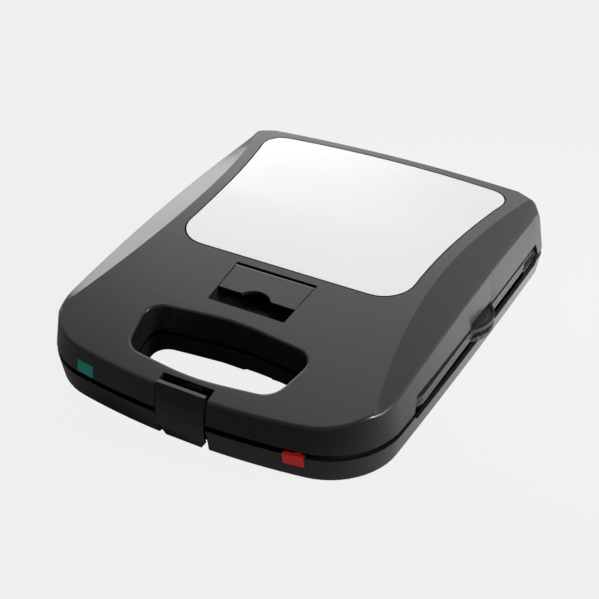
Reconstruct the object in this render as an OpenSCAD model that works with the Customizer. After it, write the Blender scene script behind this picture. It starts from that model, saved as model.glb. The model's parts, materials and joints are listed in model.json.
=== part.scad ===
// Sandwich toaster with a hinged lid, two lift-out plates and a hand hole that
// forms the carrying handle. +Z is up, the handle faces -Y and the hinge +Y.

/* [Shell in plan] */
// Width across the shell at the parting line
shell_w = 250; // [235:1:310]
// Depth of the shell from the handle to the rear wall
shell_d = 305.5; // [290:0.5:370]
// Radius of the bowed front edge
front_arc_r = 480; // [380:5:900]
// Radius of the nearly straight sides
side_arc_r = 7200; // [3000:100:20000]
// Radius of the bowed rear edge
rear_arc_r = 920; // [600:10:2000]
// Radius of the two front corners
front_corner_r = 50; // [35:1:60]
// Radius of the two rear corners
rear_corner_r = 12; // [11:0.5:30]
// Distance from the front edge to the widest place of the sides
side_mid_s = 233; // [150:1:260]

/* [Shell in height] */
// Height of the rubber feet
foot_h = 6; // [4:0.5:12]
// Depth of the recessed plinth under the base
plinth_h = 8; // [6:0.5:20]
// Height of the base wall from its lower edge to its rim
base_wall_h = 18; // [16:0.5:26]
// Height of the open line between the lid and the base
parting_gap = 4.2; // [2:0.1:6]
// Height of the lid's ridge above the lower edge of the base
crown_rise = 61.2; // [58:0.2:80]
// Radius of the arched lid top, seen from the side
crown_r = 885; // [600:5:2000]
// Distance from the front edge to the lid's ridge
crown_s = 204; // [180:1:230]
// Radius of the rounded lower edge of the base
bottom_r = 2; // [0.8:0.1:4]
// Inward lean of the walls for each mm of height
draft = 0.16; // [0.05:0.01:0.25]
// Thickness of the moulded walls
wall = 2.6; // [2:0.1:3.2]

/* [Side bevels of the lid] */
// Half width of the lid top at its waist
waist_hw = 96; // [88:0.5:100]
// Radius of the waisted edge in plan
waist_r = 478; // [400:2:700]
// Distance from the front edge to the waist
waist_s = 163; // [140:1:190]
// Height of the side shoulder above the lower edge of the base
shoulder_rise = 53.9; // [50:0.1:56]
// Radius of the arched shoulder line, seen from the side
shoulder_r = 1490; // [900:10:3000]
// Distance from the front edge to the top of the shoulder line
shoulder_s = 229; // [200:1:250]
// Steepest bevel at the front and at the rear, as a fall for each mm
bevel_falls = [0.5, 5]; // [0.3:0.1:6]
// Radius of the rounded edge between the lid top and its walls
edge_r = 2; // [0.8:0.1:3]

/* [Steel panel] */
// Thickness of the steel sheet
panel_t = 0.9; // [0.6:0.1:1.5]
// Distance of its front edge from the front of the shell, and of its rear edge from the rear
panel_ends = [126, 14.9]; // [12:0.5:150]
// Half width of the panel at its narrowest
panel_hw = 85.8; // [78:0.2:88]
// Radius of its waisted sides
panel_side_r = 608; // [500:2:900]
// Distance of its narrowest place from the front edge of the lid
panel_waist_s = 148; // [120:1:180]
// Fall of its rear edge between the middle and the corners
panel_bow = 7.5; // [0:0.5:10]
// Radius of its front and rear corners
panel_corner_r = [22, 15]; // [8:0.5:25]
// Open line round the panel
panel_gap = 0.5; // [0.3:0.1:0.8]

/* [Hand hole] */
// Half widths at the front and rear corners, at the top of the lid
hole_hw = [50.5, 60.5]; // [45:0.5:66]
// Distances of its front and rear edges from the front edge of the lid
hole_s = [17.1, 67.5]; // [15:0.1:72]
// How far the corners lie inside the middle of the front and rear edges
hole_bow = [6.2, 7.7]; // [2:0.1:10]
// Radii of its front and rear corners
hole_corner_r = [14.5, 11]; // [8:0.5:18]
// Radius of the rounded edge between the hole and the lid top
hole_edge_r = 2.4; // [0.8:0.1:3]
// How far the sides and the rear wall have moved out at the lower edge of the base
hole_flare = [9, 18.5]; // [0:0.5:20]

/* [Release paddles] */
// Distances of the paddle well from the front edge of the lid
well_s = [79, 119.4]; // [75:0.2:120]
// Half width of the well at its front and its rear
well_hw = [28.2, 30.2]; // [24:0.2:34]
// Depth of the well under the lid top
well_depth = 8; // [6:0.5:10]
// Distance of the paddle's free edge from the front edge of the lid
paddle_s = 92.5; // [88:0.5:98]
// Thickness of the paddle
paddle_t = 2.2; // [1.6:0.1:3]
// Gap round the paddle
paddle_gap = 0.5; // [0.3:0.1:0.8]
// Diameter of the paddle pins
paddle_pin_d = 2.4; // [2:0.1:3]

/* [Front latch] */
// Half width of the latch clip
clip_hw = 17.3; // [14:0.1:22]
// Half width of its tab at the lower end
clip_tab_hw = 12.7; // [10:0.1:14]
// Gap beside the clip
clip_gap = 1; // [0.3:0.1:1.4]
// Distance of the thumb pocket's rear wall from the front edge of the lid
clip_pocket_s = 13.2; // [11:0.2:14]
// Radius of the clip's convex face, seen from the side
clip_face_r = 68; // [50:1:120]
// Thickness of the clip
clip_t = 2.8; // [2:0.1:3.4]
// Diameter of the clip's pin
clip_pin_d = 3; // [2.4:0.1:3.6]

/* [Cooking plates] */
// Distance of the plates' side edges inside the widest line of the shell
plate_in = 2.8; // [2.8:0.1:8]
// Distance of their front edge from the front of the shell, and of their rear edge from the rear
plate_ends = [76, 40.5]; // [38:0.5:80]
// Height of the plane where the plates meet, above the lower edge of the base
meet_rise = 23.7; // [22:0.1:25]
// Thickness of the rim of a plate
rim_t = 3.2; // [2.6:0.1:4]
// Depth of the sandwich wells
pocket_depth = 12; // [9:0.5:13]
// Thickness of the cast walls of the wells
cast_t = 2.4; // [2:0.1:3]
// Width of the seal between the wells and the rim
seal_w = 14; // [8:0.5:18]
// Diameter of the heating elements
element_d = 6.6; // [6:0.1:8]

/* [Side slots] */
// Distance of the slots' front ends from the front of the shell, and of their rear ends from the rear
slot_ends = [74, 28.5]; // [24:0.5:78]
// Heights of the slot edges above the lower edge of the base
slot_rise = [14.3, 31.8]; // [12:0.1:34]
// Height of the relief over the grip tongues
relief_rise = 36.6; // [34:0.1:40]
// Distance of the grip's middle from the front edge of the lid
grip_s = 177.5; // [150:0.5:200]
// Radius of the grip tongue in plan
grip_r = 24.8; // [20:0.2:30]
// How far the grips stand out beyond the shell on each side
grip_out = 4.6; // [3:0.1:8]
// Thickness of a grip tongue
grip_t = 2.6; // [2:0.1:4]

/* [Hinge] */
// Diameter of the hinge pins
hinge_pin_d = 5; // [4:0.1:6]
// Radius of the hinge knuckles
knuckle_r = 5.5; // [5:0.1:7]
// Distance of the hinges from the middle of the toaster
hinge_x = 70; // [50:1:90]
// Width of a lid knuckle
knuckle_w = 18; // [12:1:26]
// Width of each ear beside a knuckle
ear_w = 6; // [4:0.5:10]
// How far the knuckles stand out behind the shell
hinge_out = 8; // [8:0.5:12]

/* [Lamps, feet and cord inlet] */
// Half width and height of the lamp lenses
lens_size = [6.7, 8.3]; // [4:0.1:12]
// Distance of each lamp from the middle of the toaster
lens_x = 74.6; // [60:0.5:85]
// Radius of the rubber feet
foot_r = 9; // [7:0.5:12]
// Place of the feet: distance inside the widest line, then from the front and from the rear edge
foot_ins = [37, 46, 43.5]; // [34:0.5:60]
// Radius of the bore of the cord inlet
inlet_r = 3.6; // [3:0.1:5]
// Distance of the cord inlet from the middle of the toaster
inlet_x = 32; // [20:1:45]

/* [Hidden] */
$fn = 96;

// places along Y
front_y = -(shell_d + hinge_out) / 2;
back_y = front_y + shell_d;
function at(s) = front_y + s;

panel_s = [panel_ends[0], shell_d - panel_ends[1]];
plate_s = [plate_ends[0], shell_d - plate_ends[1]];
slot_s = [slot_ends[0], shell_d - slot_ends[1]];
foot_s = [foot_ins[1], shell_d - foot_ins[2]];

// half widths
half_w = shell_w / 2;
plate_hw = half_w - plate_in;
foot_x = half_w - foot_ins[0];

// heights
lift = foot_h + plinth_h;
rim_z = lift + base_wall_h;
lid_z = rim_z + parting_gap;
part_z = (rim_z + lid_z) / 2;
crown_z = lift + crown_rise;
shoulder_z0 = lift + shoulder_rise;
meet_z = lift + meet_rise;

// fits
seat_gap = 0.3;       // between pieces that rest on each other
run_gap = 0.05;       // round a turning pin
meet_gap = 0.3;       // between the two closed plates

// outline of the shell: five tangent arcs on each side of the middle
front_c = [0, front_y + front_arc_r];
rear_c = [0, back_y - rear_arc_r];
side_c = [half_w - side_arc_r, at(side_mid_s)];
function bearing(c, p) = atan2(p.y - c.y, p.x - c.x);
// the point at r1 from c1 and r2 from c2, on the given side of the line between them
function meet(c1, r1, c2, r2, side) =
    let (d = norm(c2 - c1), u = (c2 - c1) / d, a = (r1 * r1 - r2 * r2 + d * d) / (2 * d))
    c1 + a * u + side * sqrt(r1 * r1 - a * a) * [-u.y, u.x];
front_k = meet(front_c, front_arc_r - front_corner_r, side_c, side_arc_r - front_corner_r, 1);
rear_k = meet(rear_c, rear_arc_r - rear_corner_r, side_c, side_arc_r - rear_corner_r, -1);
function arc(c, r, a0, a1, n, skip = 0) =
    [for (i = [skip:n]) let (a = a0 + (a1 - a0) * i / n) c + r * [cos(a), sin(a)]];
// right half of the outline, from the front to the rear, moved inwards by t
function half_outline(t) = concat(
    arc(front_c, front_arc_r - t, -89.5, bearing(front_c, front_k), 10),
    arc(front_k, front_corner_r - t, bearing(front_c, front_k), bearing(side_c, front_k), 12, 1),
    arc(side_c, side_arc_r - t, bearing(side_c, front_k), bearing(side_c, rear_k), 16, 1),
    arc(rear_k, rear_corner_r - t, bearing(side_c, rear_k), bearing(rear_c, rear_k), 6, 1),
    arc(rear_c, rear_arc_r - t, bearing(rear_c, rear_k), 89.7, 6, 1)
);
function flip(p) = [-p.x, p.y];
function backwards(l) = [for (i = [len(l) - 1:-1:0]) l[i]];
function whole(half) = concat(half, [for (p = backwards(half)) flip(p)]);
function raise(pts, z) = [for (p = pts) [p.x, p.y, z]];

// the lid top: an arched crown, cut by a bevel on each side
function fall(r, d) = r - sqrt(r * r - d * d);
function crown(y) = crown_z - (y < at(crown_s) ? fall(crown_r, y - at(crown_s)) : 0);
function waist(y) = waist_hw + fall(waist_r, y - at(waist_s));
function shoulder(y) = shoulder_z0 - fall(shoulder_r, y - at(shoulder_s));
function steepest(y) = y < at(shoulder_s) ? bevel_falls[0] : bevel_falls[1];
function top_edge(p) =
    let (past = abs(p.x) - waist(p.y))
    past <= 0 ? crown(p.y) : max(shoulder(p.y), crown(p.y) - steepest(p.y) * past);
crease_lip = 0.4;
// inward lean of the wall between the parting line and height z
function lean(z) = draft * abs(z - part_z);

// corners of a polygon rounded with arcs: each corner is [x, y, radius]
function rounded(corners, n = 6) = [
    for (i = [0:len(corners) - 1])
    let (k = len(corners), b = [corners[i].x, corners[i].y], r = corners[i].z,
         a3 = corners[(i + k - 1) % k], c3 = corners[(i + 1) % k],
         u = unit([a3.x, a3.y] - b), v = unit([c3.x, c3.y] - b),
         half = acos(u * v) / 2)
    each r == 0 ? [b] :
        let (q = b + unit(u + v) * r / sin(half), s = b + u * r / tan(half), e = b + v * r / tan(half),
             a0 = bearing(q, s), turn = bearing(q, e) - a0,
             short = turn > 180 ? turn - 360 : turn < -180 ? turn + 360 : turn)
        [for (j = [0:n]) q + r * [cos(a0 + short * j / n), sin(a0 + short * j / n)]]
];
function unit(v) = v / norm(v);

// a closed solid through rings of equally many points, from the lowest to the highest
module rings(levels) {
    n = len(levels[0]);
    polyhedron(
        points = [for (ring = levels) each ring],
        faces = concat(
            [[for (i = [0:n - 1]) i]],
            [for (k = [0:len(levels) - 2], i = [0:n - 1]) let (j = (i + 1) % n)
                each [[k * n + i, (k + 1) * n + i, k * n + j],
                      [k * n + j, (k + 1) * n + i, (k + 1) * n + j]]],
            [[for (i = [n - 1:-1:0]) (len(levels) - 1) * n + i]]
        )
    );
}

// ---- forms shared by several pieces ----

// extrudes a side view, drawn as (y, z), between x = -half and x = half
module along_x(half) rotate([90, 0, 90]) translate([0, 0, -half]) linear_extrude(2 * half) children();
module between_x(x0, x1) translate([(x0 + x1) / 2, 0, 0]) along_x(abs(x1 - x0) / 2) children();
module rod_x(r, x0, x1, y, z) translate([x0, y, z]) rotate([0, 90, 0]) cylinder(r = r, h = x1 - x0);
module slab(z0, z1) translate([0, 0, z0]) linear_extrude(z1 - z0) children();
module both_sides() {
    children();
    mirror([1, 0, 0]) children();
}
// turns a piece of the lid into its twin below the plane where the plates meet
module twin() translate([0, 0, 2 * meet_z]) mirror([0, 0, 1]) children();

// solid of the lid, moved inwards by t, with its bevelled and arched top; outside, the edge is rounded
edge_steps = 4;
least_bevel = 8; // narrower bevels, at the rear corners, rise as slowly as one of this width
module lid_form(t, below = 0) {
    foot = half_outline(t);
    inward = half_outline(t + 1) - foot;
    low_z = lid_z - below;
    r = t > 0 ? 0 : edge_r;
    n = len(foot);
    function inset(i, a) = foot[i] + inward[i] * a;
    // row k of the rounded edge, from the wall to the top, which rises to the crown over the bevel
    function edge_row(k) = let (turn = 90 * k / edge_steps)
        [for (i = [0:n - 1])
            let (p = foot[i], a = lean(top_edge(p) - t - r), q = inset(i, a + r * (1 - cos(turn))),
                 width = max(inset(i, a).x - waist(p.y), least_bevel),
                 rise = (crown(p.y) - top_edge(p)) * (inset(i, a).x - q.x) / width)
            [q.x, q.y, top_edge(p) + crown(q.y) - crown(p.y) + rise - t - r * (1 - sin(turn))]];
    top = edge_row(edge_steps);
    // the curved line where the bevel meets the crown
    crease = [for (i = [0:n - 1])
        let (q = inset(i, lean(crown(foot[i].y) - t - r) + r))
        [min(waist(q.y), top[i].x - crease_lip), q.y, crown(q.y) - t]];
    rows = concat(
        [[for (i = [0:n - 1]) let (q = inset(i, lean(low_z))) [q.x, q.y, low_z]]],
        r > 0 ? [for (k = [0:edge_steps - 1]) edge_row(k)] : [],
        [top, crease]
    );
    m = len(rows);
    e = n - 1;
    // points of row k on the right, then the same on the left
    function right(k, i) = 2 * n * k + i;
    function left(k, i) = 2 * n * k + n + i;
    polyhedron(
        points = [for (row = rows) each concat(row, [for (p = row) [-p.x, p.y, p.z]])],
        faces = concat(
            [for (k = [0:1:m - 4]) each concat(
                quad(right(k, 0), left(k, 0), left(k + 1, 0), right(k + 1, 0)),
                quad(left(k, e), right(k, e), right(k + 1, e), left(k + 1, e))
            )],
            [concat(
                [right(m - 3, 0), left(m - 3, 0), left(m - 2, 0)],
                [left(m - 1, 0), right(m - 1, 0), right(m - 2, 0)]
            )],
            [concat(
                [left(m - 3, e), right(m - 3, e), right(m - 2, e)],
                [right(m - 1, e), left(m - 1, e), left(m - 2, e)]
            )],
            [for (k = [0:m - 2], i = [0:n - 2]) each concat(
                quad(right(k, i), right(k + 1, i), right(k + 1, i + 1), right(k, i + 1)),
                quad(left(k, i + 1), left(k + 1, i + 1), left(k + 1, i), left(k, i))
            )],
            [for (i = [0:n - 2]) each concat(
                quad(right(m - 1, i), left(m - 1, i), left(m - 1, i + 1), right(m - 1, i + 1)),
                quad(right(0, i), right(0, i + 1), left(0, i + 1), left(0, i))
            )]
        )
    );
}
function quad(a, b, c, d) = [[a, b, c], [a, c, d]];

// solid of the base above its lower edge, moved inwards by t
bottom_steps = 3;
module base_form(t, above = 0) {
    function level(z, more) = raise(whole(half_outline(t + more + lean(z))), z);
    rings(concat(
        [for (k = [0:bottom_steps]) let (turn = 90 * k / bottom_steps)
            level(lift + t + bottom_r * (1 - cos(turn)), bottom_r * (1 - sin(turn)))],
        [level(rim_z + above, 0)]
    ));
}

// the hand hole at height z, moved outwards by t
function hole_outline(z, t) =
    let (down = (crown(at(hole_s[1])) - z) / (crown(at(hole_s[1])) - lift),
         f = hole_hw[0] + t + down * hole_flare[0],
         r = hole_hw[1] + t + down * hole_flare[0],
         y0 = at(hole_s[0]) - t, y1 = at(hole_s[1]) + t + down * hole_flare[1])
    rounded([
        [-f, y0 + hole_bow[0], hole_corner_r[0] + t], [0, y0, 160],
        [f, y0 + hole_bow[0], hole_corner_r[0] + t], [r, y1 - hole_bow[1], hole_corner_r[1] + t],
        [0, y1, 160], [-r, y1 - hole_bow[1], hole_corner_r[1] + t]
    ], 5);
module hand_hole(z0, z1, t) rings([raise(hole_outline(z0, t), z0), raise(hole_outline(z1, t), z1)]);
// the hand hole of the lid, from height z0 up, with a rounded edge that follows the arched top
hole_steps = 4;
module lid_hole(z0) {
    wall_z = crown(at(hole_s[0])) - hole_edge_r - 1;
    // outline moved out by a, at the depth b under the arched top
    function rim(a, b) = [
        for (i = [0:len(hole_outline(wall_z, a)) - 1])
        let (z = crown(hole_outline(wall_z, a)[i].y) - b, p = hole_outline(z, a)[i])
        [p.x, p.y, crown(p.y) - b]
    ];
    rings(concat(
        [raise(hole_outline(z0, 0), z0), raise(hole_outline(wall_z, 0), wall_z)],
        [for (k = [0:hole_steps]) let (turn = 90 * k / hole_steps)
            rim(hole_edge_r * (1 - cos(turn)), hole_edge_r * (1 - sin(turn)))],
        [rim(hole_edge_r, -2)]
    ));
}

// everything under the arched top, lowered by d
module under_crown(d) along_x(half_w) {
    intersection() {
        translate([at(crown_s), crown_z - crown_r]) circle(r = crown_r - d, $fn = 256);
        translate([front_y, lift]) square([crown_s, crown_rise + 1]);
    }
    translate([at(crown_s), lift]) square([shell_d - crown_s, crown_rise - d]);
}
// a sheet that follows the arched top, between depths d0 and d1 under it
module crown_sheet(d0, d1) intersection() {
    slab(lift, crown_z + 1) children();
    difference() {
        under_crown(d0);
        under_crown(d1);
    }
}

// outline of the steel panel, moved outwards by t
function panel_side(y) = panel_hw + fall(panel_side_r, y - at(panel_waist_s));
function panel_rear(x) = at(panel_s[1]) - panel_bow * pow(x / panel_side(at(panel_s[1])), 2);
module panel_outline(t) {
    y0 = at(panel_s[0]) - t;
    x1 = panel_side(panel_rear(panel_hw)) + t;
    y1 = panel_rear(x1) + t;
    function side_point(k) = let (y = y0 + 30 + (y1 - y0 - 54) * k / 8) [panel_side(y) + t, y, 0];
    function rear_point(k) = let (x = (x1 - 22) * (1 - k / 4)) [x, panel_rear(x) + t, 0];
    right = concat(
        [[panel_side(y0) + t, y0, panel_corner_r[0] + t]],
        [for (k = [0:8]) side_point(k)],
        [[x1, y1, panel_corner_r[1] + t]],
        [for (k = [0:3]) rear_point(k)]
    );
    polygon(rounded(concat(right, [[0, panel_rear(0) + t, 0]],
        [for (p = backwards(right)) [-p.x, p.y, p.z]]), 8));
}

// outline of a cooking plate, moved outwards by t; its front edge steps back round the hand hole
plate_corner_r = 10;
plate_step = [74, 80, 9]; // half widths of the step at its ends, and its depth
module plate_outline(t) {
    x = plate_hw + t;
    y0 = at(plate_s[0]) - t;
    y1 = at(plate_s[1]) + t;
    polygon(rounded([
        [-x, y0, plate_corner_r], [-plate_step[1] + t, y0, 2], [-plate_step[0] + t, y0 + plate_step[2], 2],
        [plate_step[0] - t, y0 + plate_step[2], 2], [plate_step[1] - t, y0, 2], [x, y0, plate_corner_r],
        [x, y1, plate_corner_r], [-x, y1, plate_corner_r]
    ], 5));
}

// ---- pieces of the shell ----

// a screw driven upwards at the origin, and its pilot hole
screw = [1.4, 3, 1.6, 9]; // shank radius, head radius, head height, length in the boss
module wood_screw(len) {
    translate([0, 0, -screw[2]]) difference() {
        cylinder(r = screw[1], h = screw[2]);
        translate([0, 0, -0.01]) cylinder(r = 1.2, h = 1, $fn = 6);
    }
    cylinder(r = screw[0], h = len);
}
boss_r = 4;
front_boss = [half_w - 30, at(34), 0];
rear_boss = [half_w - 27, back_y - 21.5, 0];
module at_bosses() {
    both_sides() {
        translate(front_boss) children();
        translate(rear_boss) children();
    }
    translate([0, rear_boss.y, 0]) children();
}

// inner frame of the lid or the base
frame_t = 1.8;
frame_gap = 0.4;
frame_side = plate_hw - 6.2;
wells_in = seal_w - cast_t - 0.6;
ring_low = meet_z + meet_gap / 2 + rim_t + seat_gap;
cover_z = lid_z + seat_gap;
deck_z = rim_z - 0.8 - frame_t;
// the frame's cover lies at cover_low, its ring round the plate at ring_z, each frame_t thick
module inner_frame(cover_low, ring_z) {
    z0 = min(cover_low, ring_z);
    z1 = max(cover_low, ring_z) + frame_t;
    difference() {
        intersection() {
            union() {
                slab(cover_low, cover_low + frame_t) difference() {
                    polygon(whole(half_outline(wall + frame_gap + lean(cover_low))));
                    plate_outline(0.5);
                }
                slab(ring_z, ring_z + frame_t) intersection() {
                    difference() {
                        plate_outline(2.1);
                        wells_opening();
                    }
                    translate([-frame_side, front_y]) square([2 * frame_side, shell_d]);
                }
                slab(z0, z1) intersection() {
                    difference() {
                        plate_outline(2.1);
                        plate_outline(0.5);
                    }
                    translate([-frame_side, front_y]) square([2 * frame_side, shell_d]);
                }
            }
            slab(z0 - 1, z1 + 1) polygon(whole(half_outline(wall + frame_gap + lean(z1))));
        }
        hand_hole(z0 - 1, z1 + 1, wall + frame_gap);
        translate([0, 0, z0 - 1]) at_bosses() cylinder(r = screw[0] + 0.1, h = z1 - z0 + 2);
        for (x = [-1, 1]) translate([x * lens_x - 9, front_y, z0 - 1]) cube([18, 32, z1 - z0 + 2]);
        both_sides() translate([hinge_x - pin_half - 1, back_y - 6.6, z0 - 1])
            cube([2 * pin_half + 2, 10, z1 - z0 + 2]);
        translate([-clip_hw - 5, front_y, z0 - 1]) cube([2 * clip_hw + 10, hole_s[0] + 4, z1 - z0 + 2]);
    }
}
module wells_opening() {
    x = plate_hw - wells_in;
    y0 = at(plate_s[0]) + wells_in + plate_step[2];
    y1 = at(plate_s[1]) - wells_in;
    polygon(rounded([[-x, y0, 8], [x, y0, 8], [x, y1, 8], [-x, y1, 8]], 4));
}
module lid_inner_frame() color("#2b2b2c") inner_frame(cover_z, ring_low);
module base_inner_frame() color("#2b2b2c") inner_frame(deck_z, 2 * meet_z - ring_low - frame_t);

// the lamp lenses sit in the front wall, against the parting line
lens_t = 3;
function wall_y(x, z, t) = front_c.y - sqrt(pow(front_arc_r - t - lean(z), 2) - x * x);
module lens_block(x, z0, z1, depth, more) {
    xs = [x - lens_size[0] - more, x, x + lens_size[0] + more];
    function level(z) = concat(
        [for (k = [0:2]) [xs[k], wall_y(xs[k], z, 0) - (more > 0 ? 1 : 0), z]],
        [for (k = [2:-1:0]) [xs[k], wall_y(xs[k], z, depth), z]]
    );
    rings([level(z0), level(z1)]);
}
module ready_lens() color("#00695a") lens_block(-lens_x, lid_z, lid_z + lens_size[1], lens_t, 0);
module power_lens() color("#8c1914") lens_block(lens_x, rim_z - lens_size[1], rim_z, lens_t, 0);
// a neon lamp in its glass tube with a socket, behind a lens
module lamp(x, z) {
    y0 = wall_y(x, z, lens_t) + seat_gap + 0.6;
    translate([x, y0, z]) rotate([-90, 0, 0]) {
        sphere_end = 2.4;
        translate([0, 0, sphere_end]) cylinder(r = sphere_end, h = 9);
        translate([0, 0, sphere_end]) sphere(r = sphere_end);
        translate([0, 0, sphere_end + 8]) cylinder(r = 3.4, h = 8);
    }
}
module ready_lamp() color("#d8a070") lamp(-lens_x, lid_z + lens_size[1] / 2 + 0.8);
module power_lamp() color("#d8a070") lamp(lens_x, rim_z - lens_size[1] / 2);

// side view of the slots, drawn as (y, z)
module slot_view(z0, z1) polygon([
    [at(slot_s[0]) - 3, z0], [at(slot_s[1]) + 3, z0], [at(slot_s[1]), z1], [at(slot_s[0]) + 3, z1]
]);

// hinge: a knuckle or an ear, with its web drawn as (y, z) towards the lid
hinge_y = back_y + hinge_out - knuckle_r;
web_turn = 40;   // where the web leaves the round knuckle
web_rise = 14;   // height of the web above the parting line
web_in = 6;      // how far it reaches into the wall
web_low = parting_gap / 2 + 0.2;
module hinge_web(x0, x1, bore) between_x(x0, x1) difference() {
    union() {
        translate([hinge_y, part_z]) circle(r = knuckle_r);
        polygon([
            [hinge_y + knuckle_r * cos(web_turn), part_z + knuckle_r * sin(web_turn)],
            [back_y - web_in + 2.4, part_z + web_rise],
            [back_y - web_in, part_z + web_rise],
            [back_y - web_in + 0.4, part_z + web_low],
            [hinge_y, part_z + web_low]
        ]);
    }
    translate([hinge_y, part_z]) circle(r = bore);
}
pin_r = hinge_pin_d / 2;
ear_gap = 0.3;
module lid_knuckles() both_sides()
    hinge_web(hinge_x - knuckle_w / 2, hinge_x + knuckle_w / 2, pin_r + run_gap);
module base_ears() translate([0, 0, 2 * part_z]) mirror([0, 0, 1]) both_sides()
    for (side = [-1, 1]) {
        inner = hinge_x + side * (knuckle_w / 2 + ear_gap);
        hinge_web(min(inner, inner + side * ear_w), max(inner, inner + side * ear_w), pin_r + 0.02);
    }
pin_half = knuckle_w / 2 + ear_gap + ear_w;
module hinge_relief() both_sides()
    rod_x(knuckle_r + 0.4, hinge_x - pin_half - 0.4, hinge_x + pin_half + 0.4, hinge_y, part_z);
module hinge_pins() color("#b9bbbd") both_sides()
    rod_x(pin_r, hinge_x - pin_half, hinge_x + pin_half, hinge_y, part_z);

// the paddle well in the lid top, moved outwards by t
module well_outline(t) polygon([
    [-well_hw[0] - t, at(well_s[0]) - t], [well_hw[0] + t, at(well_s[0]) - t],
    [well_hw[1] + t, at(well_s[1]) + t], [-well_hw[1] - t, at(well_s[1]) + t]
]);
well_wall = 2;
well_floor = crown(at(well_s[0])) - well_depth;

// paddle: a flush flap that turns on a pin at its rear edge and carries the plate's hook
barrel_r = 3;
paddle_y = at(well_s[1]) - paddle_gap - barrel_r;
upper_pivot_z = crown(paddle_y) - barrel_r;
lower_pivot_z = foot_h + barrel_r;
hook_arm = [5, 4];       // half width and thickness of the hook arm
hook_y = paddle_y - 2.2; // rear face of the arm
hook_reach = 3.4;
hook_z = meet_z + 9.6;   // underside of the hook, counted for the lid
hook_t = 2.4;
pin_x = well_hw[1] + well_wall - 0.3;
module paddle_outline() difference() {
    grow = (well_hw[1] - well_hw[0]) / (well_s[1] - well_s[0]);
    front_hw = well_hw[0] - paddle_gap + grow * (paddle_s - well_s[0]);
    rear_hw = well_hw[1] - 2 * paddle_gap;
    polygon([[-front_hw, at(paddle_s)], [front_hw, at(paddle_s)], [rear_hw, paddle_y], [-rear_hw, paddle_y]]);
    translate([0, at(paddle_s) - scallop_r + scallop_depth]) circle(r = scallop_r);
}
scallop_r = 12.6;
scallop_depth = 6;
// pivot height, then the top of the hook arm's travel towards the plates (dir 1 down, -1 up)
module paddle_parts(pivot_z, tip_z) {
    difference() {
        union() {
            children();
            rod_x(barrel_r, -well_hw[1] + paddle_gap + 0.2, well_hw[1] - paddle_gap - 0.2, paddle_y, pivot_z);
            z0 = min(pivot_z, tip_z);
            z1 = max(pivot_z, tip_z);
            translate([-hook_arm[0], hook_y - hook_arm[1], z0])
                cube([2 * hook_arm[0], hook_arm[1], z1 - z0]);
        }
        rod_x(paddle_pin_d / 2 + run_gap, -half_w, half_w, paddle_y, pivot_z);
        // room for the spring
        rod_x(barrel_r - 0.7, 8.4, 16.6, paddle_y, pivot_z);
        translate([8.4, paddle_y - barrel_r - 0.6, min(pivot_z, tip_z)])
            cube([8.2, 2 * barrel_r + 1.2, abs(pivot_z - tip_z)]);
    }
}
module hook_nose() translate([-hook_arm[0], hook_y - hook_arm[1], hook_z])
    cube([2 * hook_arm[0], hook_arm[1] + hook_reach, hook_t]);
module upper_paddle() color("#1c1c1d") {
    paddle_parts(upper_pivot_z, hook_z) crown_sheet(0.05, paddle_t) paddle_outline();
    hook_nose();
}
module lower_paddle() color("#1c1c1d") {
    paddle_parts(lower_pivot_z, 2 * meet_z - hook_z)
        slab(foot_h, foot_h + paddle_t) paddle_outline();
    twin() hook_nose();
}
module paddle_pin(z) rod_x(paddle_pin_d / 2, -pin_x, pin_x, paddle_y, z);
module upper_paddle_pin() color("#c4c6c8") paddle_pin(upper_pivot_z);
module lower_paddle_pin() color("#c4c6c8") paddle_pin(lower_pivot_z);

// a torsion spring round a pin: a swept wire of turns n and length l along X
module coil(x, y, z, r, wire, n, l) {
    steps = 10 * n;
    sides = 6;
    function ring(k) = let (a = 360 * n * k / steps, c = [x + l * k / steps, y + r * cos(a), z + r * sin(a)],
                            out = [0, cos(a), sin(a)])
        [for (j = [0:sides - 1]) c + wire * (cos(360 * j / sides) * out + sin(360 * j / sides) * [1, 0, 0])];
    tube([for (k = [0:steps]) ring(k)]);
}
// a closed tube through rings of points
module tube(levels) {
    n = len(levels[0]);
    m = len(levels);
    polyhedron(
        points = [for (ring = levels) each ring],
        faces = concat(
            [[for (i = [n - 1:-1:0]) i]],
            [for (k = [0:m - 2], i = [0:n - 1]) let (j = (i + 1) % n)
                each [[k * n + i, k * n + j, (k + 1) * n + i],
                      [k * n + j, (k + 1) * n + j, (k + 1) * n + i]]],
            [[for (i = [0:n - 1]) (m - 1) * n + i]]
        )
    );
}
spring_wire = 0.35;
module upper_paddle_spring() color("#a8aaac")
    coil(9.4, paddle_y, upper_pivot_z, paddle_pin_d / 2 + spring_wire + 0.15, spring_wire, 4, 6);
module lower_paddle_spring() color("#a8aaac")
    coil(9.4, paddle_y, lower_pivot_z, paddle_pin_d / 2 + spring_wire + 0.15, spring_wire, 4, 6);

// front latch: a clip on a pin in the lid, with a lip under the base
clip_top = lift + 40.6;
clip_low = lift + 0.8;
clip_y = front_y;
clip_mid_z = lift + 20;
clip_face_h = 11;         // half height of the convex face
clip_back = [2.2, 2.5];   // how far the upper part and the tab lean back from the face
clip_pin_y = at(6);
clip_pin_z = lift + 30.5;
clip_boss_r = 3.1;
lip_t = 2.6;
lip_y = at(8);
strike_y = lip_y + seat_gap;
notch_s = 11.8;
clip_pocket_hw = clip_hw + clip_gap;
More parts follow.
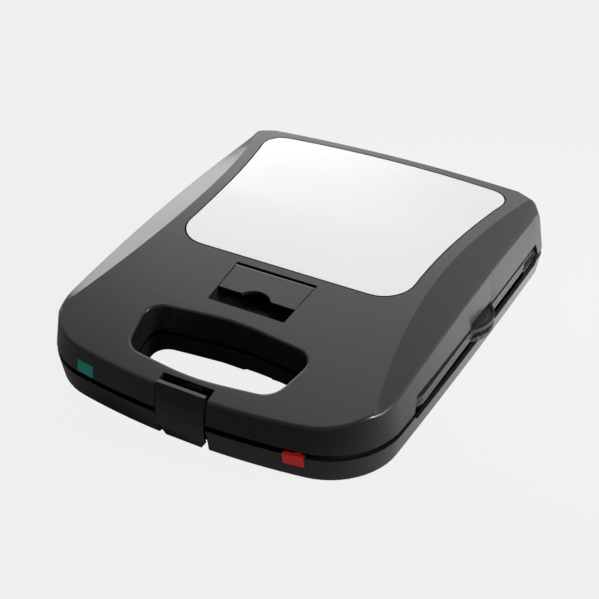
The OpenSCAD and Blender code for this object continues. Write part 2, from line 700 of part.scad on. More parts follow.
// side view of the clip's surface from the top down, t under its outside
function clip_line(t) =
    let (end_y = clip_y + clip_face_r - sqrt(pow(clip_face_r - t, 2) - pow(clip_face_h, 2)),
         turn = asin(clip_face_h / (clip_face_r - t)))
    concat(
        [[end_y + clip_back[0], clip_top]],
        arc([clip_y + clip_face_r, clip_mid_z], clip_face_r - t, 180 - turn, 180 + turn, 10),
        [[end_y + clip_back[1], clip_low]]
    );
module clip_view() difference() {
    union() {
        polygon(concat(clip_line(0), backwards(clip_line(clip_t))));
        lip_root = clip_line(0)[12].x + 0.4;
        translate([lip_root, clip_low]) square([lip_y - lip_root, lip_t]);
        translate([clip_pin_y, clip_pin_z]) circle(r = clip_boss_r);
        translate([clip_y + 1.6, clip_pin_z - 1.2]) square([clip_pin_y - clip_y - 2, 2.4]);
    }
    translate([clip_pin_y, clip_pin_z]) circle(r = clip_pin_d / 2 + run_gap);
}
// front view of the clip: its tab narrows towards the lower end
module clip_front() {
    tab_z = clip_mid_z - clip_face_h;
    hw = clip_hw + 1;
    polygon([
        [-hw, clip_top + 1], [-hw, tab_z + 1], [2 - hw, tab_z], [-clip_tab_hw, clip_low - 1],
        [clip_tab_hw, clip_low - 1], [hw - 2, tab_z], [hw, tab_z + 1], [hw, clip_top + 1]
    ]);
}
module latch_clip() color("#202021") difference() {
    intersection() {
        along_x(clip_hw) clip_view();
        translate([0, front_y + 20, 0]) rotate([90, 0, 0]) linear_extrude(30) clip_front();
    }
    // room for the spring behind the face
    translate([-6, clip_y + clip_t + 0.9, clip_pin_z - 5]) cube([12, 12, 10]);
}
module latch_pin() color("#c4c6c8") {
    half = clip_pocket_hw + wall - 0.6;
    rod_x(clip_pin_d / 2, -half, half, clip_pin_y, clip_pin_z);
}
module latch_spring() color("#a8aaac")
    coil(-4.5, clip_pin_y, clip_pin_z, clip_pin_d / 2 + spring_wire + 0.15, spring_wire, 5, 9);

// ---- the lid ----
module clip_pocket(z0, z1, depth_s) translate([-clip_pocket_hw, front_y - 5, z0])
    cube([2 * clip_pocket_hw, depth_s + 5, z1 - z0]);
post_r = 3.5;
post_x = waist_hw - 16;
post_s = [135, plate_s[1] - 27];
module at_posts() both_sides() for (s = post_s) translate([post_x, at(s), 0]) children();
element_room = 2.95;  // from the cast wells to the elements
element_z = meet_z + meet_gap / 2 + pocket_depth + cast_t + element_room + element_d / 2;
reflector_z = element_z + element_d / 2 + seat_gap;
reflector_t = 0.6;
module lid_shell() color("#1a1a1b") {
    difference() {
        lid_form(0);
        difference() {
            lid_form(wall, 1);
            hand_hole(lid_z - 2, crown_z, wall);
            slab(well_floor - well_wall, crown_z) well_outline(well_wall);
            translate([-clip_pocket_hw - wall, front_y, lid_z - 2])
                cube([2 * (clip_pocket_hw + wall), hole_s[0] + 1, crown_rise]);
            translate([0, 0, cover_z + frame_t + seat_gap]) at_bosses() cylinder(r = boss_r, h = crown_rise);
            translate([0, 0, reflector_z + reflector_t + seat_gap]) at_posts()
                cylinder(r = post_r, h = crown_rise);
        }
        lid_hole(lid_z - 3);
        slab(well_floor, crown_z + 1) well_outline(0);
        translate([-hook_arm[0] - 1, hook_y - hook_arm[1] - 6, well_floor - 5])
            cube([2 * hook_arm[0] + 2, hook_arm[1] + 6.6, 10]);
        clip_pocket(lid_z - 3, crown_z, clip_pocket_s);
        difference() {
            slab(lift, crown_z + 1) panel_outline(panel_gap);
            under_crown(panel_t + 0.1);
        }
        both_sides() between_x(frame_side - 2, half_w + 2) {
            slot_view(lid_z - 1, lift + slot_rise[1]);
            translate([at(grip_s) - grip_half, lid_z]) square([2 * grip_half, lift + relief_rise - lid_z]);
        }
        lens_block(-lens_x, lid_z - 1, lid_z + lens_size[1] + seat_gap, lens_t + 2, seat_gap);
        rod_x(paddle_pin_d / 2 + 0.02, -pin_x, pin_x, paddle_y, upper_pivot_z);
        rod_x(clip_pin_d / 2 + 0.02, -clip_pocket_hw - wall, clip_pocket_hw + wall, clip_pin_y, clip_pin_z);
        hinge_relief();
        translate([0, 0, cover_z]) at_bosses() cylinder(r = screw[0] + 0.05, h = frame_t + screw[3] + 2);
    }
    lid_knuckles();
}
module lid_steel_panel() color("#d9dadb") crown_sheet(0, panel_t) panel_outline(0);
module lid_screws() color("#8d8f91") translate([0, 0, cover_z]) at_bosses() wood_screw(frame_t + screw[3]);

// ---- the base ----
plinth_in = 14;
plinth_s = [94, shell_d - 16.5];
plinth_r = 7;
leg_r = 11;
function plinth_corners(t) =
    let (x = half_w - lean(lift) - plinth_in - t, y0 = at(plinth_s[0]) + t, y1 = at(plinth_s[1]) - t)
    [for (p = [[-x, y0], [x, y0], [x, y1], [-x, y1]]) [p.x, p.y, plinth_r - t]];
module plinth(z0, z1, t) slab(z0, z1) polygon(rounded(plinth_corners(t), 6));
module at_legs() both_sides() translate([foot_x, at(foot_s[0]), 0]) children();
module at_rear_feet() both_sides() translate([foot_x, at(foot_s[1]), 0]) children();
foot_screw = [1.7, 3.4, 2, 14]; // shank radius, head radius, head height, length
vent_xs = [-60, -36, -12, 12, 36, 60];
vent = [2.2, 150, 34]; // width, distance of the front end from the front of the shell, length
module base_shell() color("#232324") {
    difference() {
        union() {
            base_form(0);
            plinth(foot_h, lift + 1, 0);
            at_legs() translate([0, 0, foot_h]) cylinder(r = leg_r, h = plinth_h + 1);
        }
        difference() {
            union() {
                base_form(wall, 1);
                plinth(foot_h + wall, lift + wall + 1, wall);
            }
            hand_hole(foot_h - 1, rim_z + 2, wall);
            translate([-clip_pocket_hw - wall, front_y, lift - 1])
                cube([2 * (clip_pocket_hw + wall), hole_s[0] + 1, base_wall_h + 3]);
            slab(foot_h, lower_pivot_z + barrel_r + well_wall + 1) well_outline(well_wall);
            translate([0, 0, foot_h]) {
                at_bosses() cylinder(r = boss_r, h = deck_z - foot_h - seat_gap);
                at_legs() cylinder(r = 5, h = plinth_h + foot_screw[3] - 6);
                at_rear_feet() cylinder(r = 5, h = foot_screw[3] - 3);
            }
            translate([0, 0, foot_h]) at_posts()
                cylinder(r = post_r, h = 2 * meet_z - reflector_z - reflector_t - seat_gap - foot_h);
        }
        hand_hole(foot_h - 2, rim_z + 3, 0);
        slab(foot_h - 1, lower_pivot_z + barrel_r + 1) well_outline(0);
        translate([-hook_arm[0] - 1, hook_y - hook_arm[1] - 4, foot_h])
            cube([2 * hook_arm[0] + 2, hook_arm[1] + 4.6, plinth_h + 4]);
        difference() {
            clip_pocket(lift - 1, rim_z + 2, notch_s);
            translate([-clip_pocket_hw - 1, strike_y, clip_low + lip_t + 0.6])
                cube([2 * clip_pocket_hw + 2, 10, 6]);
        }
        both_sides() between_x(frame_side - 2, half_w + 2) translate([0, 2 * part_z]) mirror([0, 1])
            slot_view(2 * part_z - rim_z - 2, 2 * part_z - lift - slot_rise[0]);
        lens_block(lens_x, rim_z - lens_size[1] - seat_gap, rim_z + 1, lens_t + 2, seat_gap);
        rod_x(paddle_pin_d / 2 + 0.02, -pin_x, pin_x, paddle_y, lower_pivot_z);
        hinge_relief();
        for (x = vent_xs) translate([x - vent[0] / 2, at(vent[1]), foot_h - 1])
            cube([vent[0], vent[2], wall + 2]);
        translate([inlet_x, inlet_y, inlet_z]) rotate([-90, 0, 0]) {
            translate([0, 0, -wall - 6]) cylinder(r = inlet_r + 1.65, h = wall + 12);
            translate([0, 0, 0.1]) cylinder(r = inlet_r + 4.4, h = 6);
        }
        translate([0, 0, deck_z - screw[3]]) at_bosses() cylinder(r = screw[0] + 0.05, h = screw[3] + 1);
        translate([0, 0, foot_h - 1]) {
            at_legs() cylinder(r = foot_screw[0] + 0.05, h = foot_screw[3]);
            at_rear_feet() cylinder(r = foot_screw[0] + 0.05, h = foot_screw[3] - 4);
        }
    }
    base_ears();
}
inlet_z = lift + 9;
inlet_y = back_y - lean(inlet_z) - fall(rear_arc_r, inlet_x);
module cord_inlet() color("#2a2a2b") {
    translate([inlet_x, inlet_y, inlet_z]) rotate([-90, 0, 0]) difference() {
        union() {
            translate([0, 0, -wall - 3]) cylinder(r = inlet_r + 1.6, h = wall + 4);
            translate([0, 0, 0.4]) cylinder(r = inlet_r + 4, h = 2);
            translate([0, 0, -wall - 3]) cylinder(r = inlet_r + 2.2, h = 1.4);
        }
        translate([0, 0, -wall - 4]) cylinder(r = inlet_r, h = wall + 10);
    }
}
module base_screws() color("#8d8f91") translate([0, 0, deck_z + frame_t]) mirror([0, 0, 1])
    at_bosses() wood_screw(frame_t + screw[3] - 1);
module foot() difference() {
    union() {
        cylinder(r1 = foot_r - 1, r2 = foot_r, h = 1.4);
        translate([0, 0, 1.4]) cylinder(r = foot_r, h = foot_h - 1.4);
    }
    translate([0, 0, -1]) cylinder(r = foot_screw[1] + 0.3, h = 1 + foot_h - foot_web);
    cylinder(r = foot_screw[0] + 0.05, h = foot_h + 1);
}
foot_web = 2.2;
module rubber_feet() color("#101010") {
    at_legs() foot();
    at_rear_feet() foot();
}
module foot_screw_of(len) translate([0, 0, foot_h - foot_web - foot_screw[2]]) {
    difference() {
        cylinder(r = foot_screw[1], h = foot_screw[2]);
        translate([0, 0, -0.01]) cylinder(r = 1.4, h = 1.2, $fn = 6);
    }
    cylinder(r = foot_screw[0], h = len);
}
module foot_screws() color("#8d8f91") {
    at_legs() foot_screw_of(foot_screw[3]);
    at_rear_feet() foot_screw_of(foot_screw[3] - 4);
}

// ---- cooking plates ----
// one triangular well, moved outwards by t, from the plane where the plates meet to height z1
half_sandwich = [(plate_hw - seal_w - 9) / 2, (plate_s[1] - plate_s[0] - plate_step[2] - 2 * seal_w - 8) / 2];
sandwich_x = half_sandwich[0] + 9;
sandwich_y = at(plate_s[1]) - seal_w - 4 - half_sandwich[1];
rib = 3.2;
well_lean = 0.35;
// corners of a well: side -1 is one half of a sandwich, 1 the other half
function tri(side, t) =
    let (a = half_sandwich[0], b = half_sandwich[1], g = rib)
    side > 0
        ? [[a - t, -b + t, 7], [a - t, b - g * 2 - t * 2.4, 7], [-a + g * 2 + t * 2.4, -b + t, 7]]
        : [[-a + t, b - t, 7], [-a + t, -b + g * 2 + t * 2.4, 7], [a - g * 2 - t * 2.4, b - t, 7]];
function tri_ring(side, t, z) = raise([for (p = rounded(tri(side, t), 5)) p + [sandwich_x, sandwich_y]], z);
module well_block(side, t, z0, z1) rings([
    tri_ring(side, t, z0),
    tri_ring(side, t + well_lean * (z1 - z0 - 2), z1 - 2),
    tri_ring(side, t + well_lean * (z1 - z0 - 2) + 2, z1)
]);
lug = [5, 3, 2.6]; // half width, thickness and overhang height of the keeper lug
module plate_body() {
    z0 = meet_z + meet_gap / 2;
    difference() {
        union() {
            slab(z0, z0 + rim_t) plate_outline(0);
            both_sides() for (side = [-1, 1]) well_block(side, -cast_t, z0 + 0.5, z0 + pocket_depth + cast_t);
            translate([-lug[0], hook_y + hook_reach + 0.6, z0 + 1])
                cube([2 * lug[0], lug[1], hook_z - z0 + 5]);
            translate([-lug[0], hook_y + 0.6, hook_z + hook_t + 0.5])
                cube([2 * lug[0], hook_reach + 1, lug[2]]);
        }
        both_sides() for (side = [-1, 1]) well_block(side, 0, z0 - 0.01, z0 + pocket_depth);
        // groove round the sandwiches that catches the drips
        slab(z0 - 1, z0 + 1.1) difference() {
            drip(2.2);
            drip(0);
        }
    }
}
module drip(t) {
    x = plate_hw - 5 + t / 2;
    y0 = at(plate_s[0]) + plate_step[2] + 4 - t / 2;
    y1 = at(plate_s[1]) - 4 + t / 2;
    polygon(rounded([[-x, y0, 8], [x, y0, 8], [x, y1, 8], [-x, y1, 8]], 4));
}
module upper_plate() color("#2f3032") plate_body();
module lower_plate() color("#2f3032") twin() plate_body();

// grip tongues on the sides of a plate
grip_cx = half_w + grip_out - grip_r;
grip_low = meet_z + 2;
grip_in = frame_side + 0.6;
grip_half = sqrt(pow(grip_r, 2) - pow(plate_hw - grip_cx, 2)) + 1.2;
module grips() both_sides() difference() {
    slab(grip_low, grip_low + grip_t) intersection() {
        translate([grip_cx, at(grip_s)]) circle(r = grip_r);
        translate([grip_in, at(grip_s) - grip_half + 1]) square([30, 2 * grip_half - 2]);
    }
    rim_top = meet_z + meet_gap / 2 + rim_t;
    translate([grip_in - 1, at(grip_s) - 30, meet_z])
        cube([plate_hw + 0.1 - grip_in + 1, 60, rim_top + 0.1 - meet_z]);
    // shallow recess that leaves a raised edge
    slab(grip_low + grip_t - 0.4, grip_low + grip_t + 1) intersection() {
        translate([grip_cx, at(grip_s)]) circle(r = grip_r - 1.6);
        translate([grip_in - 1, at(grip_s) - grip_half + 3]) square([30, 2 * grip_half - 6]);
    }
}
module upper_plate_grips() color("#3a3a3b") grips();
module lower_plate_grips() color("#3a3a3b") twin() grips();

// ---- heating ----
loop_x = [40, waist_hw - 4];
loop_s = [118, plate_s[1] - 15];
module element_loop() {
    r = (loop_x[1] - loop_x[0]) / 2;
    y0 = at(loop_s[0]) + r;
    y1 = at(loop_s[1]);
    translate([(loop_x[0] + loop_x[1]) / 2, y0, element_z]) rotate([0, 0, 180])
        rotate_extrude(angle = 180) translate([r, 0]) circle(d = element_d);
    for (x = loop_x) translate([x, y0, element_z]) rotate([-90, 0, 0]) {
        cylinder(d = element_d, h = y1 - y0);
        cylinder(d = 2.4, h = y1 - y0 + 6);
    }
}
module upper_elements() color("#5b5450") both_sides() element_loop();
module lower_elements() color("#5b5450") twin() upper_elements();
reflector_s = plinth_s[0] + 5;
module reflector() {
    x = loop_x[1] + 11;
    y0 = at(reflector_s);
    y1 = at(loop_s[1] + 2);
    difference() {
        translate([-x, y0, reflector_z - 5]) cube([2 * x, y1 - y0, 5 + reflector_t]);
        translate([-x + reflector_t, y0 + reflector_t, reflector_z - 6])
            cube([2 * (x - reflector_t), y1 - y0 - 2 * reflector_t, 6]);
        translate([-well_hw[1] - 5, y0 - 1, reflector_z - 6])
            cube([2 * (well_hw[1] + 5), well_s[1] + 7 - reflector_s, 8]);
        both_sides() for (x = loop_x) translate([x - 4.2, y1 - 2, reflector_z - 8.4]) cube([8.4, 4, 8.4]);
    }
}
module upper_reflector() color("#c9cbcc") reflector();
module lower_reflector() color("#c9cbcc") twin() reflector();

// ---- wiring parts on the floor of the base ----
floor_z = foot_h + wall + seat_gap;
parts_y = back_y - 28.5;
module thermostat() color("#e4e0d6") translate([-58, parts_y, floor_z]) {
    cylinder(r = 7.5, h = 5);
    translate([0, 0, 5]) cylinder(r = 6, h = 2.4);
    for (y = [-1, 1]) translate([-1.5, y * 4 - 0.4, 7]) cube([3, 0.8, 6]);
}
module thermal_fuse() color("#cfc7a8") translate([-34, parts_y, floor_z + 3]) rotate([0, 90, 0]) {
    cylinder(r = 2.6, h = 16);
    translate([0, 0, -4]) cylinder(r = 0.6, h = 24);
    for (x = [3, 10]) translate([0, -2.8, x]) cube([3, 5.6, 2]);
}
module terminal_block() color("#e9e6de") translate([inlet_x - 14, parts_y - 5, floor_z]) difference() {
    cube([28, 12, 10]);
    for (k = [0:2]) translate([5 + 9 * k, 6, 3]) {
        cylinder(r = 1.8, h = 8);
        translate([0, 8, 2.4]) rotate([90, 0, 0]) cylinder(r = 1.5, h = 16);
    }
}

lid_shell();
lid_steel_panel();
lid_inner_frame();
upper_reflector();
upper_elements();
upper_plate();
upper_plate_grips();
upper_paddle();
upper_paddle_pin();
upper_paddle_spring();
latch_clip();
latch_pin();
latch_spring();
ready_lens();
ready_lamp();
lid_screws();
base_shell();
base_inner_frame();
lower_reflector();
lower_elements();
lower_plate();
lower_plate_grips();
lower_paddle();
lower_paddle_pin();
lower_paddle_spring();
power_lens();
power_lamp();
thermostat();
thermal_fuse();
terminal_block();
cord_inlet();
hinge_pins();
rubber_feet();
foot_screws();
base_screws();
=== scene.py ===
# %% [markdown]
# # A sandwich toaster
# This notebook dresses the model of a sandwich toaster: a black moulded case with an arched lid, a steel
# panel set into it, two small lamp lenses and dark cooking plates. The shapes come from the construction
# model. The cells below give them even shading, narrow rounded edges, finishes, light and a camera.

# %% Load the construction model
import json
import math
import bpy
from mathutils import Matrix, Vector
from mathutils.bvhtree import BVHTree

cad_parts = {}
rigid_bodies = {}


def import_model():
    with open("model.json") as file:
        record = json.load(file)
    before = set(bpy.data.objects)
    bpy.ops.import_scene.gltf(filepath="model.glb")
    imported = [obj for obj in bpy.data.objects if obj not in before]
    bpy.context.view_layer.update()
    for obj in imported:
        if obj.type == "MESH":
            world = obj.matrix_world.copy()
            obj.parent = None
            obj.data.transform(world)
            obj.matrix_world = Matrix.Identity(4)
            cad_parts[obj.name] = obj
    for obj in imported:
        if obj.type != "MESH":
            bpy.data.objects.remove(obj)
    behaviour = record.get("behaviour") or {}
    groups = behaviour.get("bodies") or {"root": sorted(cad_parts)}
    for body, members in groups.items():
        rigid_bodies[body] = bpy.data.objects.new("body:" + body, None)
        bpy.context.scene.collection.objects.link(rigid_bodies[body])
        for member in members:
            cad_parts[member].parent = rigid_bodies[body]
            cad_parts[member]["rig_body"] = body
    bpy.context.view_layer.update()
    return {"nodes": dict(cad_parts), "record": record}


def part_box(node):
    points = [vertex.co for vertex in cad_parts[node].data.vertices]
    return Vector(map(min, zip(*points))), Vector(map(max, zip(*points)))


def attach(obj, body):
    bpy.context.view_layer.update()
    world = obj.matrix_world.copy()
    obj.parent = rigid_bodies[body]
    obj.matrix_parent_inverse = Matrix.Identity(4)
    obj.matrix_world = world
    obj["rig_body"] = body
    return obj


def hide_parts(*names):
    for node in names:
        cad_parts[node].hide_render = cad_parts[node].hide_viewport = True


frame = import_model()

nodes = frame["nodes"]
scene = bpy.context.scene
scene.view_settings.view_transform = "Standard"


# %% [markdown]
# ## Camera
# The view is from above, in front and to the right of the toaster. A lens of 76 mm keeps the perspective
# calm. The camera is turned by aiming its local -Z axis at a point near the middle of the toaster, which is
# easier to adjust than three angles.

# %% Camera
EYE = Vector((0.3491, -0.6359, 0.5199))
AIM = Vector((-0.0043, 0.00055, 0.0268))
FOCAL_PIXELS = 1262.3
SENSOR = 36.0
IMAGE = 599
lens = bpy.data.cameras.new("camera")
lens.sensor_width = SENSOR
lens.lens = FOCAL_PIXELS * SENSOR / IMAGE
camera = bpy.data.objects.new("camera", lens)
scene.collection.objects.link(camera)
camera.location = EYE
camera.rotation_euler = (AIM - EYE).to_track_quat("-Z", "Y").to_euler()
scene.camera = camera
print("lens", round(lens.lens, 2), "mm,", round((EYE - AIM).length, 3), "m away")


# %% [markdown]
# ## Helpers for shader nodes
# A finish, a floor and a room are all small networks of nodes. Two steps come back in each of them: a sum or
# product of two values, and a blend of two shaders. A helper for each keeps the cells below readable.

# %% Helpers for shader nodes
def maths(tree, operation, a, b):
    """a (operation) b, each a number or a socket."""
    made = tree.nodes.new("ShaderNodeMath")
    made.operation = operation
    for slot, value in zip(made.inputs, (a, b)):
        if isinstance(value, bpy.types.NodeSocket):
            tree.links.new(value, slot)
        else:
            slot.default_value = value
    return made.outputs[0]


def blend(tree, factor, first, second):
    """Shows the shader `first` where the factor is 0 and `second` where it is 1."""
    made = tree.nodes.new("ShaderNodeMixShader")
    for slot, socket in zip(made.inputs, (factor, first, second)):
        tree.links.new(socket, slot)
    return made.outputs[0]


# %% [markdown]
# ## Floor
# The toaster stands on a pale floor whose edge is far off. To the camera the floor is almost wholly a plain
# near-white sheet, which still darkens a little where the toaster shades it. To every other ray it is an
# ordinary pale floor, so that the case mirrors what a real floor would show. The Light Path node tells the
# two kinds of ray apart.

# %% Floor
FLOOR_TONE = 0.885
FLOOR_SIZE = 14.0
BELOW_FEET = 0.0002
PLAIN_SHARE = 0.965
FLOOR_PAINT = 0.8
bpy.ops.object.select_all(action="DESELECT")
bpy.ops.mesh.primitive_plane_add(size=FLOOR_SIZE, location=(0, 0, -BELOW_FEET))
floor = bpy.context.active_object
floor.name = "floor"
paint = bpy.data.materials.new("floor_paint")
paint.use_nodes = True
tree = paint.node_tree
tree.nodes.clear()
diffuse = tree.nodes.new("ShaderNodeBsdfDiffuse")
diffuse.inputs["Color"].default_value = (FLOOR_PAINT, FLOOR_PAINT, FLOOR_PAINT, 1)
glow = tree.nodes.new("ShaderNodeEmission")
glow.inputs["Color"].default_value = (FLOOR_TONE, FLOOR_TONE, FLOOR_TONE, 1)
path = tree.nodes.new("ShaderNodeLightPath")
share = maths(tree, "MULTIPLY", path.outputs["Is Camera Ray"], PLAIN_SHARE)
out = tree.nodes.new("ShaderNodeOutputMaterial")
tree.links.new(blend(tree, share, diffuse.outputs[0], glow.outputs[0]), out.inputs["Surface"])
floor.data.materials.append(paint)
print("floor", FLOOR_SIZE, "m wide")


# %% [markdown]
# ## Room
# The camera sees the room as the same near-white as the floor, so the horizon is faint, and only low views
# show it. In mirrors the room is as pale behind the toaster and darker in front of it, where a studio has no
# white wall, which keeps the front of the black case dark. To all other rays it gives very little light,
# because the lamps do that work.

# %% Room
ROOM_LIGHT = 0.05
FRONT_TONE = 0.3


def background(tree, tone, strength):
    made = tree.nodes.new("ShaderNodeBackground")
    made.inputs["Color"].default_value = (tone, tone, tone, 1)
    made.inputs["Strength"].default_value = strength
    return made


world = bpy.data.worlds.new("room")
scene.world = world
world.use_nodes = True
tree = world.node_tree
tree.nodes.clear()
backdrop = background(tree, FLOOR_TONE, 1)
room = background(tree, 1, ROOM_LIGHT)
mirrored = background(tree, 1, 1)
way = tree.nodes.new("ShaderNodeSeparateXYZ")
tree.links.new(tree.nodes.new("ShaderNodeTexCoord").outputs["Generated"], way.inputs[0])
fade = tree.nodes.new("ShaderNodeMapRange")
for title, value in (("From Min", -0.5), ("From Max", 0.5), ("To Min", FRONT_TONE), ("To Max", FLOOR_TONE)):
    fade.inputs[title].default_value = value
tree.links.new(way.outputs["Y"], fade.inputs["Value"])
tree.links.new(fade.outputs["Result"], mirrored.inputs["Strength"])
path = tree.nodes.new("ShaderNodeLightPath")
in_mirrors = maths(tree, "MAXIMUM", path.outputs["Is Glossy Ray"], path.outputs["Is Transmission Ray"])
shown = blend(tree, in_mirrors, room.outputs[0], mirrored.outputs[0])
shown = blend(tree, path.outputs["Is Camera Ray"], shown, backdrop.outputs[0])
out = tree.nodes.new("ShaderNodeOutputWorld")
tree.links.new(shown, out.inputs["Surface"])
print("room dims to", ROOM_LIGHT)


# %% [markdown]
# ## Lamps
# Three soft rectangular lamps stand behind the toaster and to its sides, as in a product studio. Their light
# slides over the lid towards the camera, so it draws the bevels and the steel, and the front stays black. A
# lamp is placed by its direction from the toaster, and its power follows from its size, so that a larger
# lamp is not a brighter one in a mirror.

# %% Lamps
def softbox(name, turn, rise, distance, size, strength, aim=(0, 0, 0.04), beam=180):
    """A lamp seen from the toaster at `turn` degrees round (0 behind it, plus to the right)."""
    light = bpy.data.lights.new(name, "AREA")
    light.shape = "RECTANGLE"
    light.size, light.size_y = size
    light.energy = strength * size[0] * size[1] * math.pi
    light.spread = math.radians(beam)
    lamp = bpy.data.objects.new(name, light)
    scene.collection.objects.link(lamp)
    a, e = math.radians(turn), math.radians(rise)
    way = Vector((math.sin(a) * math.cos(e), math.cos(a) * math.cos(e), math.sin(e)))
    lamp.location = Vector(aim) + distance * way
    lamp.rotation_euler = (-way).to_track_quat("-Z", "Y").to_euler()
    lamp.visible_camera = False
    print(name, [round(v, 2) for v in lamp.location], round(light.energy, 1), "W")


softbox("back_left_lamp", -42, 12, 2.2, (1.6, 0.8), 2.7)
softbox("top_lamp", -26, 46, 2.2, (1.5, 2.4), 0.6)
softbox("right_lamp", 95, 28, 0.8, (0.4, 0.3), 3.9, aim=(0.2, 0.15, 0), beam=38)


# %% [markdown]
# ## Shared effects
# Two effects are used by many finishes, so each is a node group, whose sockets let every finish set its own
# values. Both read object coordinates, which are metres here and stay with a piece when it moves.

# %% Helpers for node groups
RESULTS = ("Height", "Roughness", "Shade")


def new_group(name, inputs):
    """A shader node group with float inputs {title: value} and the three results."""
    made = bpy.data.node_groups.new(name, "ShaderNodeTree")
    for title, value in inputs.items():
        made.interface.new_socket(title, in_out="INPUT", socket_type="NodeSocketFloat").default_value = value
    for title in RESULTS:
        made.interface.new_socket(title, in_out="OUTPUT", socket_type="NodeSocketFloat")
    return made, made.nodes.new("NodeGroupInput"), made.nodes.new("NodeGroupOutput")


def noise(tree, vector, scale, detail, roughness=0.5):
    """Noise texture on a vector; scale is a number or a socket."""
    made = tree.nodes.new("ShaderNodeTexNoise")
    made.inputs["Detail"].default_value = detail
    made.inputs["Roughness"].default_value = roughness
    tree.links.new(vector, made.inputs["Vector"])
    if isinstance(scale, bpy.types.NodeSocket):
        tree.links.new(scale, made.inputs["Scale"])
    else:
        made.inputs["Scale"].default_value = scale
    return made.outputs["Fac"]


def vary(tree, given, pattern):
    """The group's roughness, moved up and down by the pattern over its spread."""
    drift = maths(tree, "MULTIPLY", maths(tree, "SUBTRACT", pattern, 0.5), given.outputs["Spread"])
    return maths(tree, "ADD", given.outputs["Roughness"], drift)


# %% [markdown]
# ### Moulded grain
# A steel mould leaves a faint dimpling on plastic, and the gloss changes slowly over a large piece. Fine
# noise gives the dimples and coarse noise the slow change. A grain of 1500 is two thirds of a millimetre wide.

# %% Moulded grain
SLOW_GLOSS = 14.0


def make_moulded_grain():
    tree, given, result = new_group("moulded_grain", {"Grain": 1500.0, "Roughness": 0.3, "Spread": 0.08})
    place = tree.nodes.new("ShaderNodeTexCoord").outputs["Object"]
    slow = noise(tree, place, SLOW_GLOSS, 3.0)
    tree.links.new(noise(tree, place, given.outputs["Grain"], 2.0), result.inputs["Height"])
    tree.links.new(vary(tree, given, slow), result.inputs["Roughness"])
    tree.links.new(slow, result.inputs["Shade"])
    return tree


moulded_grain = make_moulded_grain()
print("group", moulded_grain.name)


# %% [markdown]
# ### Drawn lines
# Brushed and drawn metal carries long fine scratches along one direction. Noise becomes lines when its
# coordinates are stretched: here they run slowly along X and quickly across it.

# %% Drawn lines
SLOW_TINT = 9.0
LINE_SHARE = 0.7
TINT_SHARE = 0.3


def make_drawn_lines():
    tree, given, result = new_group(
        "drawn_lines", {"Across": 2600.0, "Along": 14.0, "Roughness": 0.3, "Spread": 0.15})
    place = tree.nodes.new("ShaderNodeTexCoord").outputs["Object"]
    parts = tree.nodes.new("ShaderNodeSeparateXYZ")
    tree.links.new(place, parts.inputs[0])
    joined = tree.nodes.new("ShaderNodeCombineXYZ")
    for axis, rate in (("X", "Along"), ("Y", "Across"), ("Z", "Across")):
        tree.links.new(maths(tree, "MULTIPLY", parts.outputs[axis], given.outputs[rate]), joined.inputs[axis])
    lines = noise(tree, joined.outputs[0], 1.0, 4.0, 0.65)
    slow = noise(tree, place, SLOW_TINT, 2.0)
    shade = maths(tree, "ADD", maths(tree, "MULTIPLY", lines, LINE_SHARE),
                  maths(tree, "MULTIPLY", slow, TINT_SHARE))
    tree.links.new(lines, result.inputs["Height"])
    tree.links.new(vary(tree, given, lines), result.inputs["Roughness"])
    tree.links.new(shade, result.inputs["Shade"])
    return tree


drawn_lines = make_drawn_lines()
print("group", drawn_lines.name)


# %% [markdown]
# ## A finish from one of the groups
# Every finish is built the same way: the group's shade blends a dark and a light colour, its roughness
# varies the gloss, and its height goes through a Bump node. What is the same all over a piece, such as
# metallic, is set as a plain number on the shader itself, because an export drops some sockets when they
# are linked.

# %% A finish
def finish(name, group, values, dark, light, depth, metallic=0.0, **sockets):
    """A material whose relief is `depth` metres deep; other sockets are plain numbers."""
    made = bpy.data.materials.new(name)
    made.use_nodes = True
    tree = made.node_tree
    shader = tree.nodes["Principled BSDF"]
    effect = tree.nodes.new("ShaderNodeGroup")
    effect.node_tree = group
    for title, value in values.items():
        effect.inputs[title].default_value = value
    colour = tree.nodes.new("ShaderNodeMix")
    colour.data_type = "RGBA"
    colour.inputs["A"].default_value = (*dark, 1)
    colour.inputs["B"].default_value = (*light, 1)
    bump = tree.nodes.new("ShaderNodeBump")
    bump.inputs["Strength"].default_value = 1.0
    bump.inputs["Distance"].default_value = depth
    tree.links.new(effect.outputs["Shade"], colour.inputs["Factor"])
    tree.links.new(colour.outputs["Result"], shader.inputs["Base Color"])
    tree.links.new(effect.outputs["Roughness"], shader.inputs["Roughness"])
    tree.links.new(effect.outputs["Height"], bump.inputs["Height"])
    tree.links.new(bump.outputs["Normal"], shader.inputs["Normal"])
    shader.inputs["Metallic"].default_value = metallic
    for title, value in sockets.items():
        shader.inputs[title.replace("_", " ")].default_value = value
    return made


finishes = {}


# %% [markdown]
# ## Plastic finishes
# The case is black plastic with a soft gloss, and the clip is a little glossier. The plates' grips have a
# coarse stipple, so that they are not slippery. The inner frames are duller, as hidden mouldings are.

